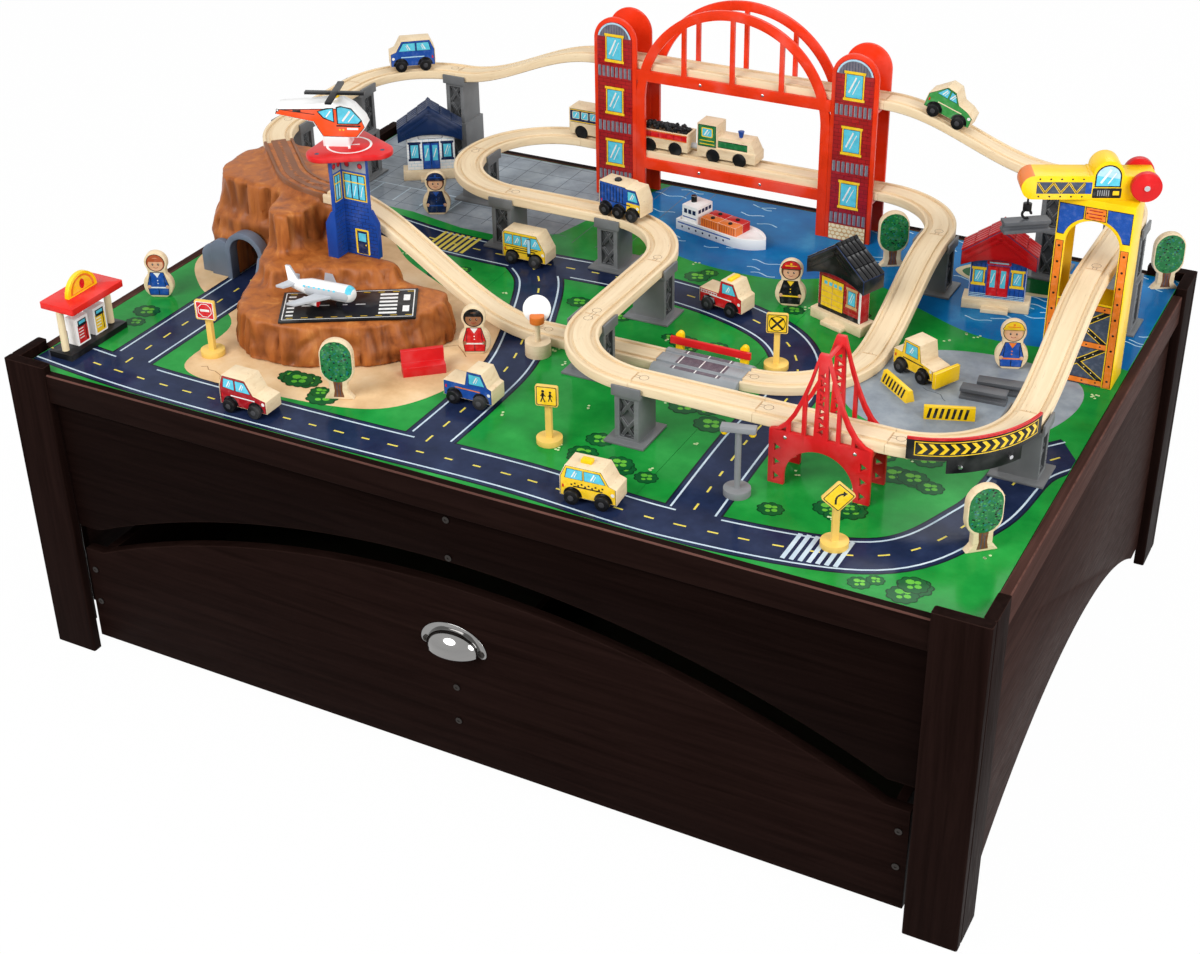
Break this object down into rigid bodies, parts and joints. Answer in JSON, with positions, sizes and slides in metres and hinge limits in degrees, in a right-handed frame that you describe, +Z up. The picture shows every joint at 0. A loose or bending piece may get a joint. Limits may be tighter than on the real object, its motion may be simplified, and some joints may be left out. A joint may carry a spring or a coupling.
{
  "type": "train table",
  "caption": "Low dark wood play table with an arched rolling drawer, a printed play board, raised wooden train track, bridges, mountain, crane, houses, vehicles and figures.",
  "frame": {"origin": "middle of the whole outline, on the floor", "axes": "+X to the right along the drawer front, +Y to the back, +Z up"},
  "size_m": [1.24, 0.882, 0.7085],
  "materials": {
    "dark_wood": "satin dark stain",
    "board_print": "gloss print on fibreboard",
    "screw_steel": "dark plated",
    "drawer_board": "raw fibreboard",
    "pull_chrome": "polished",
    "bracket_grey": "moulded",
    "wheel_black": "moulded",
    "track_wood": "sanded beech",
    "pier_grey": "moulded",
    "toy_yellow": "moulded",
    "toy_red": "moulded",
    "rock_brown": "sprayed moulding",
    "stone_grey": "sprayed moulding",
    "toy_black": "moulded",
    "toy_white": "moulded",
    "toy_blue": "moulded",
    "toy_orange": "moulded",
    "bridge_orange": "moulded",
    "brick_red": "printed panel",
    "house_paint": "printed wood",
    "roof_paint": "painted wood",
    "print_wood": "printed wood"
  },
  "bodies": {
    "table": {"corner_posts": "dark_wood", "front_apron": "dark_wood", "back_apron": "dark_wood", "end_panels": "dark_wood", "rim_rails": "dark_wood", "play_board": "board_print", "board_bearers": "dark_wood", "table_screws": "screw_steel", "ground_track": "track_wood", "ramp_track": "track_wood", "raised_track": "track_wood", "high_track": "track_wood", "short_piers": "pier_grey", "tall_piers": "pier_grey", "crossing_plate": "pier_grey", "crossing_posts": "toy_yellow", "mountain": "rock_brown", "tunnel_portal": "stone_grey", "runway_plate": "toy_black", "airplane": "toy_white", "control_tower": "toy_blue", "helipad": "toy_red", "helicopter": "toy_orange", "bridge_towers": "bridge_orange", "bridge_arches": "bridge_orange", "tower_faces": "brick_red", "suspension_bridge": "toy_red", "curve_guard": "toy_black", "crane_tower": "toy_yellow", "house_walls": "house_paint", "house_roofs": "roof_paint", "house_bases": "track_wood", "fuel_stop": "toy_red", "toy_people": "print_wood", "toy_trees": "print_wood", "road_signs": "toy_yellow", "street_pieces": "pier_grey", "cargo_boat": "toy_white", "vehicle_bodies": "print_wood", "vehicle_wheels": "toy_black"},
    "drawer": {"drawer_front": "dark_wood", "drawer_box": "dark_wood", "drawer_bottom": "drawer_board", "drawer_pull": "pull_chrome", "drawer_screws": "screw_steel", "wheel_brackets": "bracket_grey"},
    "front_rollers": {"front_drawer_wheels": "wheel_black"},
    "rear_rollers": {"rear_drawer_wheels": "wheel_black"},
    "gate": {"gate_arm": "toy_red"},
    "helicopter_rotor": {"rotor": "toy_black"},
    "jib": {"crane_jib": "toy_yellow"},
    "winch": {"winch_drum": "toy_red"},
    "hook": {"crane_hook": "toy_black"},
    "train": {"train_bodies": "print_wood"},
    "engine_front": {"engine_front_axle": "toy_black"},
    "engine_rear": {"engine_rear_axle": "toy_black"},
    "coal_front": {"coal_front_axle": "toy_black"},
    "coal_rear": {"coal_rear_axle": "toy_black"},
    "coach_front": {"coach_front_axle": "toy_black"},
    "coach_rear": {"coach_rear_axle": "toy_black"}
  },
  "joints": [
    {"name": "drawer_slide", "type": "slide", "parent": "table", "child": "drawer", "axis": [0, -1, 0], "range_m": [0, 0.6]},
    {"name": "front_roll", "type": "hinge", "parent": "drawer", "child": "front_rollers", "pos_m": [0, -0.324, 0.018], "axis": [1, 0, 0], "range_deg": [0, 1911]},
    {"name": "rear_roll", "type": "hinge", "parent": "drawer", "child": "rear_rollers", "pos_m": [0, 0.276, 0.018], "axis": [1, 0, 0], "range_deg": [0, 1911]},
    {"name": "gate_lift", "type": "hinge", "parent": "table", "child": "gate", "pos_m": [0.108, -0.0435, 0.4365], "axis": [0, -1, 0], "range_deg": [0, 85]},
    {"name": "rotor_spin", "type": "hinge", "parent": "table", "child": "helicopter_rotor", "pos_m": [-0.338, -0.091, 0.695], "axis": [0, 0, 1], "continuous": true},
    {"name": "crane_slew", "type": "hinge", "parent": "table", "child": "jib", "pos_m": [0.553, 0.123, 0.65], "axis": [0, 0, 1], "range_deg": [-110, 20]},
    {"name": "winch_turn", "type": "hinge", "parent": "jib", "child": "winch", "pos_m": [0.59041, 0.14045, 0.6618], "axis": [-0.4226, 0.9063, 0], "range_deg": [0, 860]},
    {"name": "hook_lower", "type": "slide", "parent": "jib", "child": "hook", "axis": [0, 0, -1], "range_m": [0, 0.0601]},
    {"name": "train_roll", "type": "slide", "parent": "table", "child": "train", "axis": [1, 0, 0], "range_m": [0, 0.15]},
    {"name": "engine_front_turn", "type": "hinge", "parent": "train", "child": "engine_front", "pos_m": [0.002, 0.381, 0.4953], "axis": [0, 1, 0], "range_deg": [0, 860]},
    {"name": "engine_rear_turn", "type": "hinge", "parent": "train", "child": "engine_rear", "pos_m": [-0.038, 0.381, 0.4953], "axis": [0, 1, 0], "range_deg": [0, 860]},
    {"name": "coal_front_turn", "type": "hinge", "parent": "train", "child": "coal_front", "pos_m": [-0.096, 0.381, 0.4953], "axis": [0, 1, 0], "range_deg": [0, 860]},
    {"name": "coal_rear_turn", "type": "hinge", "parent": "train", "child": "coal_rear", "pos_m": [-0.136, 0.381, 0.4953], "axis": [0, 1, 0], "range_deg": [0, 860]},
    {"name": "coach_front_turn", "type": "hinge", "parent": "train", "child": "coach_front", "pos_m": [-0.205, 0.381, 0.4953], "axis": [0, 1, 0], "range_deg": [0, 860]},
    {"name": "coach_rear_turn", "type": "hinge", "parent": "train", "child": "coach_rear", "pos_m": [-0.245, 0.381, 0.4953], "axis": [0, 1, 0], "range_deg": [0, 860]}
  ],
  "couplings": [
    {"joint": "front_roll", "follows": "drawer_slide", "rad_per_m": 55.556},
    {"joint": "rear_roll", "follows": "drawer_slide", "rad_per_m": 55.556},
    {"joint": "hook_lower", "follows": "winch_turn", "m_per_rad": 0.004},
    {"joint": "engine_front_turn", "follows": "train_roll", "rad_per_m": 100},
    {"joint": "engine_rear_turn", "follows": "train_roll", "rad_per_m": 100},
    {"joint": "coal_front_turn", "follows": "train_roll", "rad_per_m": 100},
    {"joint": "coal_rear_turn", "follows": "train_roll", "rad_per_m": 100},
    {"joint": "coach_front_turn", "follows": "train_roll", "rad_per_m": 100},
    {"joint": "coach_rear_turn", "follows": "train_roll", "rad_per_m": 100}
  ]
}
